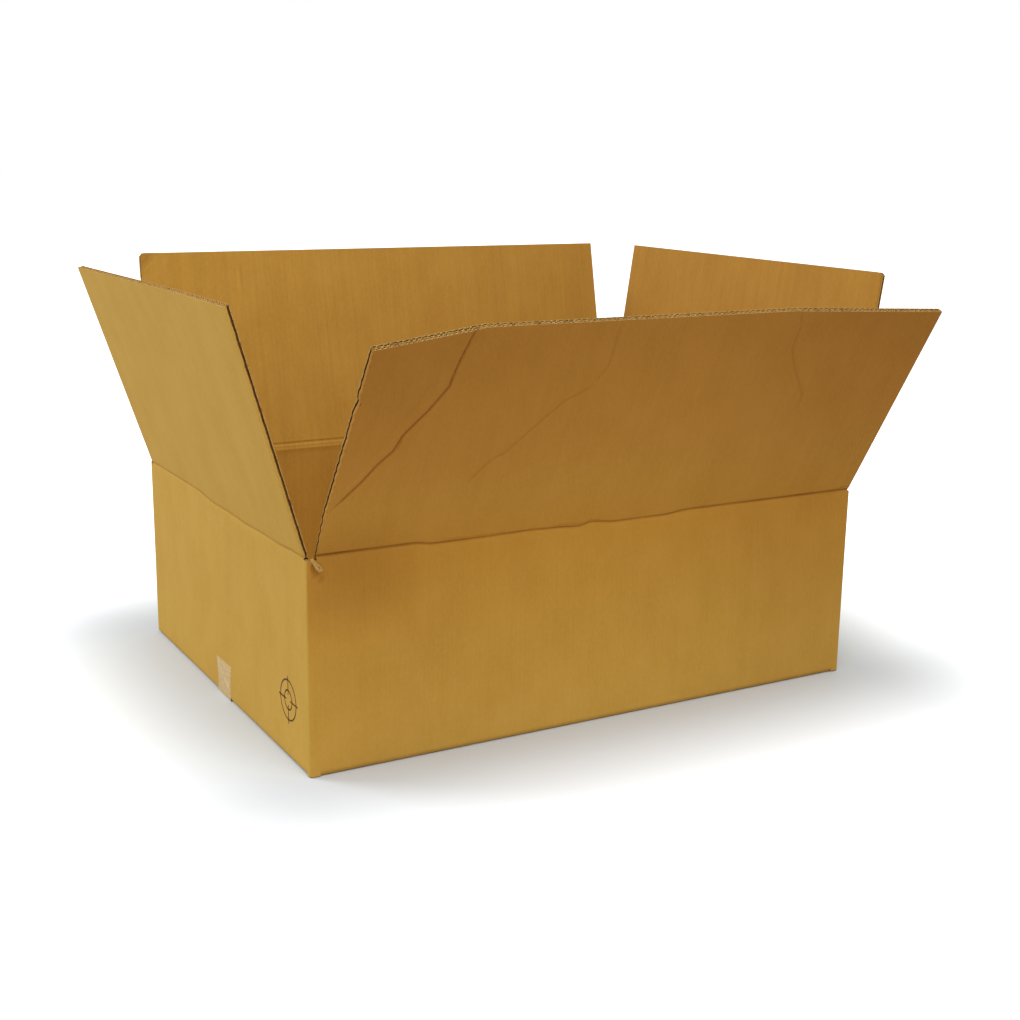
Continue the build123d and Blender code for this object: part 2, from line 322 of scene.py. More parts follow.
class Sheet:
    """A board folded from one wall: an upper flap with the top of its wall, or a bottom flap.

    u runs along the wall from its middle, v from the fold to the free edge, w inwards from the outer face.
    Its shape can have score, score_at, bead, creases, lift, edge_in, edge_drop, bends, wave, fold_line,
    fold_width, line, deep and groove. The bead, edge_in, edge_drop, wave, fold_width and groove are in
    millimetres. The fold_line, the line and the creases' darkness are painted light and shade.
    """

    def __init__(self, turn, major, ends, fold, top=True, **shape):
        self.turn = math.radians(turn)
        self.half, self.reach = (HALF_L, HALF_W) if major else (HALF_W, HALF_L)
        self.start = -self.half + ends[0] * MM
        self.end = self.half - ends[1] * MM
        if top:
            self.fold_z = MAJOR_FOLD_Z if major else MINOR_FOLD_Z
            self.pivot_in = MAJOR_PIVOT_IN if major else 0.0
            self.seam = SEAM_Z - self.fold_z
            self.fold_reach = FOLD_REACH
        else:
            self.fold_z = BASE_PIVOT + TAPE_LIFT
            self.pivot_in = BASE_PIVOT
            self.seam = self.fold_z - BASE_SEAM_Z
            self.fold_reach = BASE_FOLD_REACH
        self.fold = math.radians(fold)
        self.up = 1.0 if top else -1.0
        self.shape = shape

    def pressed(self, u, v, w):
        """Depths after the score, bead, creases and lift."""
        shape = self.shape
        centre = shape.get("score_at", SCORE_AT) * BOARD
        pinch = shape.get("score", SCORE) * bump(v / SCORE_REACH)
        w = centre + (w - centre) * (1 - pinch)
        inner = np.clip((w - BOARD / 2) / (BOARD / 2), 0, 1)
        w = w + inner * shape.get("bead", 0.0) * MM * bump((v + BEAD_BELOW) / BEAD_REACH)
        for crease in shape.get("creases", ()):
            w = w + crease(u, v)[0]
        if "lift" in shape:
            w = w + shape["lift"](v)
        return w

    def trimmed(self, u, v):
        """Places after the near end and the free edge are trimmed."""
        along, height = u, v
        if "edge_in" in self.shape:
            along = along + self.shape["edge_in"](v) * MM * smooth(1 - (u - self.start) / END_REACH)
        if "edge_drop" in self.shape:
            drop = self.shape["edge_drop"](u) * MM
            height = height - drop * smooth((v - FREE_EDGE_FROM) / FREE_EDGE_REACH)
        return along, height

    def place(self, u, v, w):
        """World positions of points on the sheet."""
        u, v, w = spread(u, v, w)
        w = self.pressed(u, v, w)
        along, height = self.trimmed(u, v)
        for bend in self.shape.get("bends", ()):
            along, height, w = bend(along, height, w)
        if "wave" in self.shape:
            height = height + self.shape["wave"](u) * MM * bump(v / self.seam)
        turn = self.fold * smooth((v / self.fold_reach + 1) / 2)
        y = w - self.pivot_in
        z = self.up * height
        out_y = y * np.cos(turn) - z * np.sin(turn) + self.pivot_in - self.reach
        return to_world(along, out_y, y * np.sin(turn) + z * np.cos(turn) + self.fold_z, self.turn)

    def texture(self, u, v, w):
        """Texture coordinates: round the carton, and up the sheet."""
        u, v, w = spread(u, v, w)
        return np.stack([round_carton(self.turn, u), self.fold_z + self.up * v], -1)

    def darkening(self, u, v, w):
        """How much painted shade the paper gets, below 0 painted light: along creases and the fold's line,
        lines inside and broad painted light and shade.
        """
        u, v, w = spread(u, v, w)
        dark = np.zeros(u.shape)
        for crease in self.shape.get("creases", ()):
            dark = np.maximum(dark, crease(u, v)[1])
        width = self.shape.get("fold_width", lambda u: FOLD_LINE_WIDTH)(u) * MM
        line = self.shape.get("fold_line", 0.0) * bell(v, width)
        patchy = 0.78 + 0.22 * np.sin(u * 61 + 2) * np.sin(u * 23)
        inner = w > 0.5 * BOARD
        dark = np.where(inner, 0, np.maximum(dark, line * patchy))
        if "line" in self.shape:
            dark = dark + np.where(inner, self.shape["line"](u, v), 0)
        return dark + painted_light_and_shade(round_carton(self.turn, u), self.fold_z + self.up * v, inner)


class Ring:
    """The four walls: s runs round the carton from the middle of the front wall, v is the height."""

    up = 1.0

    def section(self, a, half):
        """The faces' lines at a corner: how far along and how far in, outside then inside."""
        t = np.clip((a - half + CORNER_RADIUS) / CORNER_RADIUS, 0, 1) * math.pi / 4
        outer_x = np.where(t > 0, half - CORNER_RADIUS + CORNER_RADIUS * np.sin(t), a)
        outer_y = CORNER_RADIUS - CORNER_RADIUS * np.cos(t)
        inside = BOARD + INNER_RADIUS
        squeeze = (CORNER_EASE - inside) / (CORNER_EASE - CORNER_RADIUS)
        eased = half - CORNER_EASE + (a - half + CORNER_EASE) * squeeze
        inner_x = np.where(a > half - CORNER_EASE, eased, a)
        inner_x = np.where(t > 0, half - inside + INNER_RADIUS * np.sin(t), inner_x)
        inner_y = BOARD + INNER_RADIUS - INNER_RADIUS * np.cos(t)
        return outer_x, outer_y, inner_x, inner_y

    def place(self, s, v, w):
        """World positions of points: each quarter turn places those of one wall."""
        s, v, w = spread(s, v, w)
        points = np.zeros(s.shape + (3,))
        for quarter in range(-2, 5):
            half, reach = (HALF_L, HALF_W) if quarter % 2 == 0 else (HALF_W, HALF_L)
            u = s - quarter * WALL_PITCH
            mine = np.abs(u) <= half + 1e-9
            outer_x, outer_y, inner_x, inner_y = self.section(np.abs(u), half)
            share = w / BOARD
            x = np.sign(u) * (outer_x * (1 - share) + inner_x * share)
            y = outer_y * (1 - share) + inner_y * share - reach
            placed = to_world(x, y, v, quarter * math.pi / 2)
            points[mine] = placed[mine]
        return points

    def texture(self, s, v, w):
        s, v, w = spread(s, v, w)
        return np.stack([s, v], -1)

    # Painted light and shade round the walls
    def darkening(self, s, v, w):
        return painted_light_and_shade(*np.broadcast_arrays(s, v, np.asarray(w) > 0.5 * BOARD))


class Builder:
    """Collects grids of points into one mesh."""

    def __init__(self):
        self.points, self.uvs, self.faces, self.slots, self.marks = [], [], [], [], []
        self.count = 0

    def grid(self, points, uvs, slot, flip=False, marks=0.0):
        """A grid of quads with its texture, material slot and painted light and shade."""
        rows, cols = points.shape[:2]
        index = np.arange(rows * cols).reshape(rows, cols) + self.count
        corners = [index[:-1, :-1], index[1:, :-1], index[1:, 1:], index[:-1, 1:]]
        quads = np.stack(corners, -1).reshape(-1, 4)
        if flip:
            quads = quads[:, ::-1]
        self.points.append(points.reshape(-1, 3))
        self.uvs.append(np.broadcast_to(uvs, points.shape[:2] + (2,)).reshape(-1, 2))
        self.faces.append(quads)
        self.slots.append(np.full(len(quads), slot))
        self.marks.append(np.broadcast_to(marks, points.shape[:2]).reshape(-1))
        self.count += rows * cols

    def sheet(self, sheet, u, v, w, slot, flip=False):
        """A grid on a sheet: u changes along the first index, v or w along the second."""
        marks = sheet.darkening(u, v, w)
        self.grid(sheet.place(u, v, w), sheet.texture(u, v, w), slot, flip != (sheet.up < 0), marks)

    def build(self, name, materials, sharp=38, weld=0.02 * MM):
        """All grids as one object, welded where they meet."""
        faces = np.concatenate(self.faces)
        uvs = np.concatenate(self.uvs)
        mesh = bpy.data.meshes.new(name)
        mesh.from_pydata(np.concatenate(self.points).tolist(), [], faces.tolist())
        for material in materials:
            mesh.materials.append(material)
        mesh.polygons.foreach_set("material_index", np.concatenate(self.slots).astype(np.int32))
        layer = mesh.uv_layers.new(name="board")
        layer.data.foreach_set("uv", uvs[faces.reshape(-1)].astype(np.float32).reshape(-1))
        # The mark attribute holds the painted light and shade
        mark = mesh.attributes.new("mark", "FLOAT", "POINT")
        mark.data.foreach_set("value", np.concatenate(self.marks).astype(np.float32))
        work = bmesh.new()
        work.from_mesh(mesh)
        bmesh.ops.remove_doubles(work, verts=work.verts, dist=weld)
        work.to_mesh(mesh)
        work.free()
        mesh.polygons.foreach_set("use_smooth", np.ones(len(mesh.polygons), bool))
        mesh.set_sharp_from_angle(angle=math.radians(sharp))
        piece = bpy.data.objects.new(name, mesh)
        bpy.context.scene.collection.objects.link(piece)
        return piece


def both_faces(builder, sheet, u, v):
    """The outer and the inner face over the same grid."""
    builder.sheet(sheet, u, v, 0.0, OUTER)
    builder.sheet(sheet, u, v, BOARD, INNER, flip=True)


def plain_ends(builder, sheet, start, end, v):
    """The two ends of a strip as plain cuts through the board."""
    for side, flip in ((start, False), (end, True)):
        builder.sheet(sheet, side, v.T, np.array([[0.0, BOARD]]), CUT, flip=flip)


def fluted_layer(builder, sheet, inside, edge, u0, u1, layer):
    """One open layer of an edge cut across the flutes: its liners, its floor and the waves between."""
    low, high, pitch, phase = layer
    u = steps(u0, u1, PLAIN_STEP)[:, None]
    ends = np.array([[inside, edge]])
    builder.sheet(sheet, u, ends, low, FLUTE, flip=True)
    builder.sheet(sheet, u, ends, high, FLUTE)
    builder.sheet(sheet, u, inside, np.array([[low, high]]), FLUTE)
    fine = steps(u0, u1, pitch / WAVE_STEPS)[:, None]
    swing = (high - low - PAPER) / 2
    wave = (low + high) / 2 + swing * np.sin(2 * math.pi * fine / pitch + phase)
    top = edge - FLUTE_DROP + FLUTE_RUFFLE * np.sin(fine * 1900) * np.sin(fine * 733)
    sides = np.concatenate([inside + 0 * fine, top], 1)
    builder.sheet(sheet, fine, sides, wave - PAPER / 2, FLUTE)
    builder.sheet(sheet, fine, sides, wave + PAPER / 2, FLUTE, flip=True)
    across = np.concatenate([wave - PAPER / 2, wave + PAPER / 2], 1)
    builder.sheet(sheet, fine, np.concatenate([top, top], 1), across, CUT)


def cut_across(builder, sheet, edge, u0, u1, deep):
    """An edge cut across the flutes: three liners, and waves of fluted paper between them."""
    u = steps(u0, u1, PLAIN_STEP)[:, None]
    for low, high in LINERS:
        builder.sheet(sheet, u, edge, np.array([[low, high]]), CUT)
    for layer in LAYERS:
        fluted_layer(builder, sheet, edge - deep, edge, u0, u1, layer)


def cut_along(builder, sheet, side, inward, v0, v1, groove):
    """An edge cut along the flutes: crushed board with the hollow of one flute open in it."""
    v = steps(v0, v1, PLAIN_STEP)[:, None]
    flip = inward < 0
    uneven = GROOVE_UNEVEN * np.sin(v * 310) * np.sin(v * 97 + 1)
    low, high = groove[0] * MM + uneven, groove[1] * MM + 0.7 * uneven
    floor, rim = 0 * v, RIM + 0 * v
    if groove[0] < THIN_BAND:
        bands = [(floor, low, CUT)]
    else:
        bands = [(floor, low - rim, OUTER), (low - rim, low, CUT)]
    if BOARD / MM - groove[1] < THIN_BAND:
        bands.append((high, floor + BOARD, CUT))
    else:
        bands += [(high, high + rim, CUT), (high + rim, floor + BOARD, INNER)]
    for a, b, slot in bands:
        builder.sheet(sheet, side, v, np.concatenate([a, b], 1), slot, flip=flip)
    deep = side + inward * GROOVE_DEPTH
    u = np.array([[side, deep]])
    builder.sheet(sheet, u, v, low, GROOVE, flip=flip)
    builder.sheet(sheet, u, v, high, GROOVE, flip=not flip)
    builder.sheet(sheet, deep, v, np.concatenate([low, high], 1), GROOVE, flip=flip)


def fold_rows(sheet, free, step):
    """Places from the seam to the free edge, close together at the fold."""
    near = sheet.fold_reach + 2 * MM
    return joined_steps((sheet.seam, -near, ROW_STEP), (-near, near, near / FOLD_STEPS), (near, free, step))


def upper_flap(node, sheet, fine_zones=()):
    """An upper flap and the strip of wall below its fold. The zones are in millimetres."""
    builder = Builder()
    fine = FINE_STEP if fine_zones else PLAIN_STEP
    zones = [(a * MM - sheet.half, b * MM - sheet.half) for a, b in fine_zones]
    u = mixed_steps(sheet.start, sheet.end, zones)[:, None]
    builder.sheet(sheet, u, fold_rows(sheet, FLAP_DEPTH, fine)[None, :], 0.0, OUTER)
    u = steps(sheet.start, sheet.end, PLAIN_STEP)[:, None]
    builder.sheet(sheet, u, fold_rows(sheet, FLAP_DEPTH, PLAIN_STEP)[None, :], BOARD, INNER, flip=True)
    cut_across(builder, sheet, FLAP_DEPTH, sheet.start, sheet.end, sheet.shape.get("deep", EDGE_DEPTH))
    cut_along(builder, sheet, sheet.start, 1, -1 * MM, FLAP_DEPTH, sheet.shape.get("groove", OPEN_GROOVE))
    cut_along(builder, sheet, sheet.end, -1, -1 * MM, FLAP_DEPTH, OPEN_GROOVE)
    piece = builder.build(node + "_board", PAPERS)
    out = to_world(0.0, -math.sin(sheet.fold), math.cos(sheet.fold), sheet.turn)
    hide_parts(node)
    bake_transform(piece)


def wall_band(builder, ring, corners):
    """The four walls between their two seams, with close steps at the corners."""
    around = [-HALF_L - 2 * HALF_W] + corners
    near = CORNER_RADIUS + 0.5 * MM
    runs = []
    for a, b in zip(around[:-1], around[1:]):
        runs += [(a, a + near, CORNER_STEP), (a + near, b - near, WALL_STEP), (b - near, b, CORNER_STEP)]
    both_faces(builder, ring, joined_steps(*runs)[:, None], steps(BASE_SEAM_Z, SEAM_Z, WALL_STEP)[None, :])


def corner_post(builder, ring, corner, start, end, low, high):
    """The strip of board round a corner, up to the slot between two flaps or down to its foot."""
    bend = (corner - CORNER_RADIUS, corner + CORNER_RADIUS)
    s = joined_steps((start, bend[0], POST_STEP), (*bend, CORNER_STEP), (bend[1], end, POST_STEP))[:, None]
    v = steps(low, high, ROW_STEP)[None, :]
    both_faces(builder, ring, s, v)
    plain_ends(builder, ring, start, end, v)
    if low == SEAM_Z:
        cut_across(builder, ring, high, start, end, POST_EDGE_DEPTH)
    else:
        builder.sheet(ring, s, low, np.array([[0.0, BOARD]]), CUT, flip=True)


def walls(sheets, base_sheets):
    """The four walls as one band, with the corner posts."""
    builder = Builder()
    ring = Ring()
    corners = [-HALF_L, HALF_L, HALF_L + 2 * HALF_W, 3 * HALF_L + 2 * HALF_W]
    wall_band(builder, ring, corners)
    for after, corner in enumerate(corners):
        before = after - 1
        slot_z = min(sheets[before].fold_z, sheets[after].fold_z) - SLOT_BELOW_FOLD
        for low, high, kind in ((SEAM_Z, slot_z, sheets), (CORNER_FEET[after], BASE_SEAM_Z, base_sheets)):
            start = before * WALL_PITCH + kind[before].end
            end = after * WALL_PITCH + kind[after].start
            corner_post(builder, ring, corner, start, end, low, high)
    piece = builder.build("carton_walls", PAPERS)
    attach(piece, "carton")
    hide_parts("carton_body")


def bottom_flap(name, sheet):
    """A bottom flap with the foot of its wall."""
    builder = Builder()
    u = steps(sheet.start, sheet.end, WALL_STEP)[:, None]
    free = FLAP_DEPTH + BOARD / 2 - BASE_PIVOT
    v = fold_rows(sheet, free, WALL_STEP)[None, :]
    both_faces(builder, sheet, u, v)
    cut_across(builder, sheet, free, sheet.start, sheet.end, BASE_EDGE_DEPTH)
    plain_ends(builder, sheet, sheet.start, sheet.end, v)
    piece = builder.build(name, PAPERS)
    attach(piece, "carton")


class Nodes:
    """Short calls for the shader nodes used here."""

    def __init__(self, tree):
        self.tree = tree

    def link(self, source, target):
        self.tree.links.new(source, target)

    def new(self, kind, inputs=None, **settings):
        """A node with its settings. An input that is a node's output is linked, any other is set."""
        node = self.tree.nodes.new(kind)
        for key, value in settings.items():
            setattr(node, key, value)
        for key, value in (inputs or {}).items():
            if hasattr(value, "links"):
                self.link(value, node.inputs[key])
            else:
                node.inputs[key].default_value = value
        return node

    def mapped(self, scale, move=(0, 0, 0)):
        """The board's texture coordinates, scaled."""
        uv = self.new("ShaderNodeUVMap", uv_map="board").outputs["UV"]
        mapping = self.new("ShaderNodeMapping", {"Vector": uv, "Scale": scale, "Location": move})
        return mapping.outputs["Vector"]

    def noise(self, scale, detail, roughness, move=(0, 0, 0), distortion=0.0):
        inputs = {"Vector": self.mapped(scale, move), "Scale": 1.0, "Detail": detail, "Roughness": roughness,
                  "Distortion": distortion}
        return self.new("ShaderNodeTexNoise", inputs).outputs["Fac"]

    def ramp(self, source, stops):
        node = self.new("ShaderNodeValToRGB", {"Fac": source})
        ramp = node.color_ramp
        while len(ramp.elements) < len(stops):
            ramp.elements.new(0.5)
        for element, (place, colour) in zip(ramp.elements, stops):
            element.position = place
            element.color = (*colour, 1.0)
        return node.outputs["Color"]

    def grey(self, source, low, high):
        """0 below the low value and 1 above the high one."""
        return self.ramp(source, [(low, (0, 0, 0)), (high, (1, 1, 1))])

    def mix(self, factor, first, second, blend="MIX"):
        inputs = {0: factor, 6: first, 7: second}
        return self.new("ShaderNodeMix", inputs, data_type="RGBA", blend_type=blend).outputs[2]

    def maths(self, operation, *values):
        return self.new("ShaderNodeMath", dict(enumerate(values)), operation=operation).outputs[0]

    def add(self, source, scale, offset):
        """A value times a scale plus an offset."""
        return self.maths("MULTIPLY_ADD", source, scale, offset)

    def vector(self, operation, *values):
        node = self.new("ShaderNodeVectorMath", dict(enumerate(values)), operation=operation)
        return node.outputs["Vector"]

    def relief(self, height, distance, main):
        """Raise and sink a shader's surface by a height."""
        lumps = self.new("ShaderNodeBump", {"Height": height, "Distance": distance})
        self.link(lumps.outputs["Normal"], main.inputs["Normal"])

    def shown(self, first, second, output):
        """One shader for the light on the object, and another for what is seen directly."""
        path = self.new("ShaderNodeLightPath").outputs
        direct = self.maths("MAXIMUM", path["Is Camera Ray"], path["Is Glossy Ray"])
        direct = self.maths("MAXIMUM", direct, path["Is Transmission Ray"])
        mix = self.new("ShaderNodeMixShader", {0: direct, 1: first.outputs[0], 2: second.outputs[0]})
        self.link(mix.outputs[0], self.tree.nodes[output].inputs["Surface"])


def shader(name, roughness, specular):
    """A new material, its nodes and its principled shader."""
    material = bpy.data.materials.new(name)
    material.use_nodes = True
    main = material.node_tree.nodes["Principled BSDF"]
    main.inputs["Roughness"].default_value = roughness
    main.inputs["Specular IOR Level"].default_value = specular
    return material, Nodes(material.node_tree), main


def linear(red, green, blue):
    """An sRGB colour, 0 to 255, as a linear one."""
    values = []
    for part in (red, green, blue):
        part /= 255
        values.append(part / 12.92 if part <= 0.04045 else ((part + 0.055) / 1.055) ** 2.4)
    return (*values, 1.0)


# The papers' colours: base, darker patches, lighter mottling
OUTER_KRAFT = (linear(194, 155, 72), linear(189, 150, 66), linear(200, 162, 80))
INNER_KRAFT = (linear(190, 147, 65), linear(184, 140, 59), linear(197, 155, 74))
# Cut edges, fluted paper and the inside of a groove, which is the fluted paper darker as painted shade: base
# and dark fibres, then the flecks
CUT_COLOURS = (linear(208, 174, 108), linear(170, 130, 72))
FLUTE_COLOURS = (linear(186, 146, 84), linear(140, 100, 50))
GROOVE_SHADE_COLOURS = (linear(150, 106, 52), linear(112, 76, 36))
FLECK_COLOUR = linear(98, 66, 32)
TAPE_COLOUR = linear(198, 165, 100)
TAPE_STREAK = linear(214, 188, 132)
TAPE_BLOT = linear(226, 206, 160)
INK_COLOUR = linear(84, 50, 30)
INK_WORN = linear(142, 104, 58)
# What a full mark of painted shade takes from red, green and blue; a mark below 0 adds painted light
PAINTED_SHADE_RGB = (-0.42, -0.56, -0.66)

# The front panel is tinted redder than the short walls, and darker towards the top as painted shade: its
# tint by the height up the sheet, and where it ends
FRONT_TINT_AND_SHADE = ((0.0, (1.0, 0.94, 0.92)), (0.13, (1.0, 0.91, 0.78)), (0.25, (0.97, 0.79, 0.58)),
              (0.33, (0.95, 0.78, 0.66)), (0.42, (0.90, 0.69, 0.57)), (0.55, (0.80, 0.59, 0.46)))
FRONT_TINT_AND_SHADE_END = (0.3995, 0.4005)

# Noises: the scale round the carton and up the sheet, then the detail and the roughness
PATCHES = ((17, 11, 1), 4.0, 0.6)
CLOUD = ((210, 150, 1), 3.0, 0.6)
GRAIN = ((1500, 420, 1), 2.0, 0.6)
STRIPES = ((95, 1.7, 1), 3.0, 0.7)
SPOTS = ((120, 90, 1), 3.0, 0.6)
FLECKS = ((330, 240, 1), 2.0, 0.6)
INK_GRAIN = ((900, 900, 1), 3.0, 0.6)
STREAKS = ((60, 420, 1), 3.0, 0.6)
BLOTS = ((70, 70, 1), 3.0, 0.6)
MOTTLE = 0.35


def front_tint_and_shade(nodes, colour):
    """The colour, tinted redder on the front panel and darker towards the top there as painted shade."""
    position = nodes.new("ShaderNodeSeparateXYZ", {0: nodes.mapped((1, 1, 1))})
    outside = nodes.grey(nodes.maths("ABSOLUTE", position.outputs["X"]), *FRONT_TINT_AND_SHADE_END)
    tinted_and_shaded = nodes.mix(1.0, colour, nodes.ramp(position.outputs["Y"], FRONT_TINT_AND_SHADE), "MULTIPLY")
    return nodes.mix(outside, tinted_and_shaded, colour)


def flute_waves(nodes, pitch):
    """Soft ribs where the flutes show through the liner."""
    inputs = {"Vector": nodes.mapped((math.pi / 10 / pitch, 4.0, 1)), "Scale": 1.0, "Distortion": 0.6,
              "Detail": 1.0, "Detail Scale": 0.4}
    wave = nodes.new("ShaderNodeTexWave", inputs, wave_type="BANDS", bands_direction="X", wave_profile="SIN")
    return nodes.maths("MULTIPLY", wave.outputs["Fac"], 0.55)


def kraft(name, colours, pitch, streak, seed, relief, tinted_and_shaded):
    """Brown kraft liner: faintly mottled, fibrous, and striped by the flutes behind it."""
    material, nodes, main = shader(name, 0.86, 0.2)
    base, dark, light = colours
    patches = nodes.noise(*PATCHES, (seed, seed * 2, 0))
    cloud = nodes.noise(*CLOUD, (seed * 3, seed, 0))
    grain = nodes.noise(*GRAIN, (seed, 0, 0))
    stripes = nodes.noise(*STRIPES, (seed * 5, seed, 0))
    colour = nodes.mix(nodes.grey(patches, 0.36, 0.62), dark, base)
    colour = nodes.mix(nodes.maths("MULTIPLY", nodes.grey(cloud, 0.42, 0.72), MOTTLE), colour, light)
    # On the front panel, a redder tint and painted shade darker towards the top
    if tinted_and_shaded:
        colour = front_tint_and_shade(nodes, colour)
    # The mark attribute holds painted shade, which darkens the colour, and painted light below 0, which
    # lightens it
    mark = nodes.new("ShaderNodeAttribute", attribute_name="mark")
    painted_shading = nodes.vector("MULTIPLY_ADD", mark.outputs["Fac"], PAINTED_SHADE_RGB, (1, 1, 1))
    colour = nodes.mix(1.0, colour, painted_shading, "MULTIPLY")
    bands = nodes.add(nodes.grey(stripes, 0.3, 0.7), 0.12 * streak, 1 - 0.06 * streak)
    bright = nodes.add(nodes.grey(grain, 0.3, 0.75), 0.09, 0.955)
    colour = nodes.vector("MULTIPLY", colour, nodes.maths("MULTIPLY", bands, bright))
    nodes.link(colour, main.inputs["Base Color"])
    height = nodes.maths("ADD", flute_waves(nodes, pitch), nodes.add(grain, 0.35, 0.0))
    nodes.relief(nodes.maths("ADD", height, nodes.add(cloud, 0.5, 0.0)), relief, main)
    return material


def cut_paper(name, colours, scale):
    """A rough cut edge of paper, with fibres, spots and dark flecks."""
    material, nodes, main = shader(name, 0.95, 0.1)
    base, dark = colours
    fibres = nodes.noise(scale, 4.0, 0.7)
    spots = nodes.maths("MULTIPLY", nodes.grey(nodes.noise(*SPOTS), 0.55, 0.75), 0.5)
    flecks = nodes.grey(nodes.noise(*FLECKS, (1.7, 0.4, 0)), 0.56, 0.64)
    colour = nodes.mix(nodes.grey(fibres, 0.35, 0.65), dark, base)
    colour = nodes.mix(spots, colour, dark)
    colour = nodes.mix(nodes.maths("MULTIPLY", flecks, 0.6), colour, FLECK_COLOUR)
    nodes.link(colour, main.inputs["Base Color"])
    nodes.relief(fibres, 0.3 * MM, main)
    return material


def tape_film():
    """Clear packing tape: a hazy gloss film with pale streaks where it doesn't stick."""
    material, nodes, main = shader("tape_film", 0.32, 0.5)
    streaks = nodes.noise(*STREAKS, (0.3, 0, 0), 0.4)
    blots = nodes.noise(*BLOTS, (2.3, 1.1, 0), 0.8)
    colour = nodes.mix(nodes.grey(streaks, 0.4, 0.66), TAPE_COLOUR, TAPE_STREAK)
    colour = nodes.mix(nodes.grey(blots, 0.56, 0.7), colour, TAPE_BLOT)
    nodes.link(colour, main.inputs["Base Color"])
    nodes.link(nodes.add(streaks, 0.25, 0.22), main.inputs["Roughness"])
    nodes.relief(blots, 0.4 * MM, main)
    return material


def ink_paint():
    """Flat dark ink printed on kraft, a little uneven."""
    material, nodes, main = shader("mark_ink", 0.8, 0.2)
    uneven = nodes.grey(nodes.noise(*INK_GRAIN), 0.5, 0.78)
    nodes.link(nodes.mix(uneven, INK_COLOUR, INK_WORN), main.inputs["Base Color"])
    return material


def film(builder, points, texture, normals, thick):
    """A thin closed skin: a grid of points, the same grid raised, and its rims."""
    raised = points + normals * thick
    builder.grid(points, texture, 0, flip=True)
    builder.grid(raised, texture, 0)
    both = np.stack([points, raised], 2)
    for edge, uv, flip in ((both[0], texture[0], False), (both[-1], texture[-1], True),
                           (both[:, 0], texture[:, 0], True), (both[:, -1], texture[:, -1], False)):
        builder.grid(edge, np.stack([uv, uv], 1), 0, flip=flip)


# The tape: it lies under the bottom, bends up at both short walls and ends in a tear
TAPE_LIFT = 0.12 * MM
TAPE_THICKNESS = 0.08 * MM
TAPE_SHIFT = 2 * MM
TAPE_RISE = 50 * MM
TAPE_SIDE = HALF_L + 0.02 * MM
TAPE_BOTTOM_Z = 0.1 * MM
TAPE_BEND = 1.4 * MM
TAPE_ARC = TAPE_BEND * math.pi / 2
TAPE_STRAIGHT = TAPE_RISE - TAPE_BEND
TAPE_FLAT = 2 * (TAPE_SIDE - TAPE_BEND)
TAPE_TOTAL = 2 * TAPE_STRAIGHT + 2 * TAPE_ARC + TAPE_FLAT
TEAR_REACH = 14 * MM
TAPE_WRINKLE = 0.12 * MM
# In millimetres
TAPE_HALF_WIDTH = 24.5


def tape_rows():
    """Places along the tape from one torn end to the other, close together at its two bends."""
    first = TAPE_STRAIGHT + TAPE_ARC
    second = first + TAPE_FLAT
    risen = TAPE_STRAIGHT + 2 * TAPE_ARC + TAPE_FLAT
    runs = ((0, TAPE_STRAIGHT, 2 * MM), (TAPE_STRAIGHT, first, 0.5 * MM), (first, second, 8 * MM),
            (second, risen, 0.5 * MM), (risen, TAPE_TOTAL, 2 * MM))
    return joined_steps(*runs)[:, None]


def tape_surface(t, y):
    """Positions and normals of the tape's inner side, by the place along and across."""
    edge = np.minimum(t, TAPE_TOTAL - t)
    sign = np.where(t < TAPE_TOTAL / 2, -1.0, 1.0)
    turn = np.clip((edge - TAPE_STRAIGHT) / TAPE_ARC, 0, 1) * math.pi / 2
    x = np.where(edge < TAPE_STRAIGHT, TAPE_SIDE, TAPE_SIDE - TAPE_BEND + TAPE_BEND * np.cos(turn))
    below = TAPE_SIDE - TAPE_BEND - (edge - TAPE_STRAIGHT - TAPE_ARC)
    x = np.where(edge > TAPE_STRAIGHT + TAPE_ARC, below, x)
    z = np.where(edge < TAPE_STRAIGHT, TAPE_RISE - edge, TAPE_BEND - TAPE_BEND * np.sin(turn))
    z = z + TAPE_BOTTOM_Z * (edge > TAPE_STRAIGHT)
    points = np.stack([sign * x, y, z], -1)
    normals = np.stack([sign * np.cos(turn), 0 * y, -np.sin(turn)], -1)
    wrinkles = TAPE_WRINKLE * np.clip(np.sin(y * 900 + t * 260) * np.sin(t * 190 + 1), 0, 1)
    wrinkles = wrinkles * (edge < TAPE_STRAIGHT) * np.minimum(1, edge / (4 * MM))
    return points + normals * wrinkles[..., None], normals


def sealing_tape():
    """The strip over the bottom seam, with its torn ends up both short walls."""
    t = tape_rows()
    across = np.linspace(-1, 1, 41)[None, :]
    near_end = np.clip(1 - t / (0.6 * TAPE_STRAIGHT), 0, 1)
    y = across * TAPE_HALF_WIDTH * MM - TAPE_SHIFT + near_end * (across * 4.0 - 0.5) * MM
    torn = 2.4 * np.abs(((across * 3.1 + 0.3) % 1) - 0.5) + 1.3 * np.abs(((across * 7.3 + 0.1) % 1) - 0.5)
    t = t + torn * MM * (bump(t / TEAR_REACH) - bump((TAPE_TOTAL - t) / TEAR_REACH))
    points, normals = tape_surface(t, y)
    builder = Builder()
    film(builder, points, np.stack([y, t], -1), normals, TAPE_THICKNESS)
    piece = builder.build("tape_strip", (tape_film(),), sharp=60, weld=0.005 * MM)
    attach(piece, "carton")
    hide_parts("sealing_tape")


